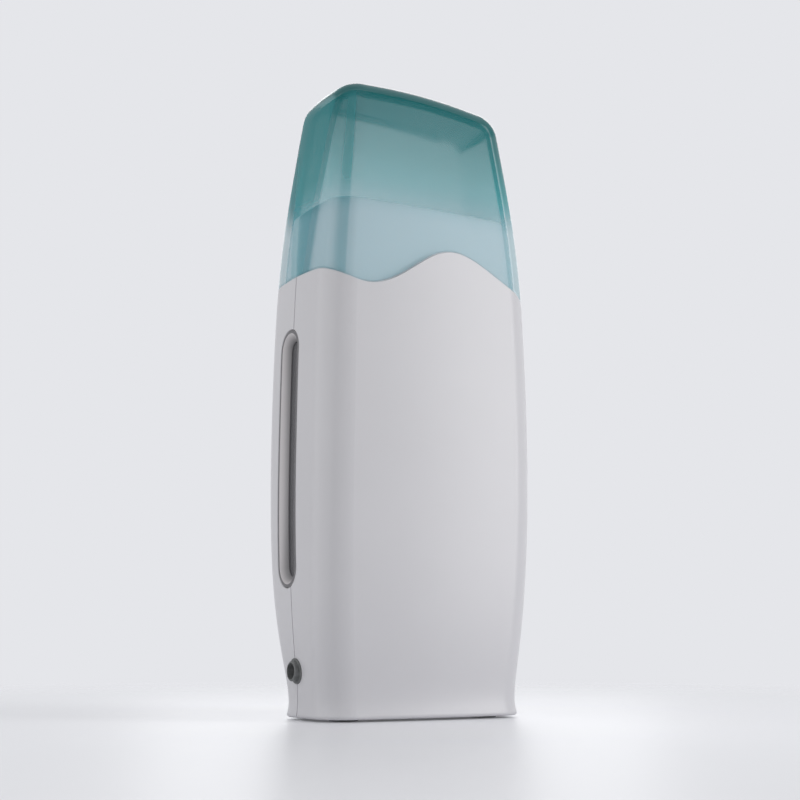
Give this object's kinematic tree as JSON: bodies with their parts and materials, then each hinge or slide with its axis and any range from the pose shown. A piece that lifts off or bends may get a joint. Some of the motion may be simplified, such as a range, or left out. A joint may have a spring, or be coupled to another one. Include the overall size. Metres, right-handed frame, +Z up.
{
  "type": "roll-on wax heater",
  "caption": "Slim upright heater for a roll-on wax cartridge: two-part casing with a side window, cord gland, inner sleeve with heat plate, and a lift-off translucent lid.",
  "frame": {"origin": "on the floor, under the middle of the base", "axes": "+Z up; -Y is the front broad face; the window and the cord gland are on the narrow side facing -X"},
  "size_m": [0.0699, 0.0426, 0.18],
  "materials": {
    "casing": "glossy moulded white",
    "lid_plastic": "translucent teal",
    "sleeve": "satin moulded white",
    "bezel": "satin grey",
    "lens": "smoked clear",
    "dark_rubber": "matte",
    "silicone": "matte",
    "screw_steel": "zinc plated",
    "spring_steel": "rolled sheet",
    "plate_aluminium": "rolled sheet",
    "contact_brass": "bare",
    "heater_ceramic": "metallised ceramic",
    "film": "amber film",
    "thermostat_case": "moulded",
    "clamp_plastic": "natural nylon",
    "lamp_glass": "clear",
    "resistor_body": "lacquered",
    "lead_insulation": "silicone"
  },
  "bodies": {
    "heater": {"front_shell": "casing", "rear_shell": "casing", "shell_screws": "screw_steel", "feet": "dark_rubber", "inner_sleeve": "sleeve", "rest_pad": "silicone", "heat_plate": "plate_aluminium", "insulating_wrap": "film", "heating_stones": "heater_ceramic", "front_electrode": "contact_brass", "rear_electrode": "contact_brass", "heater_clip": "spring_steel", "thermostat": "thermostat_case", "window_bezel": "bezel", "window_lens": "lens", "cord_gland": "dark_rubber", "cord_clamp": "clamp_plastic", "cord_clamp_screws": "screw_steel", "terminal_block": "clamp_plastic", "terminal_sleeves": "contact_brass", "terminal_screws": "screw_steel", "lamp_holder": "sleeve", "indicator_lamp": "lamp_glass", "lamp_resistor": "resistor_body", "heater_leads": "lead_insulation", "lamp_leads": "lead_insulation"},
    "lid": {"lid": "lid_plastic"}
  },
  "joints": [
    {"name": "lid_lift", "type": "slide", "parent": "heater", "child": "lid", "axis": [0, 0, 1], "range_m": [0, 0.06]}
  ]
}
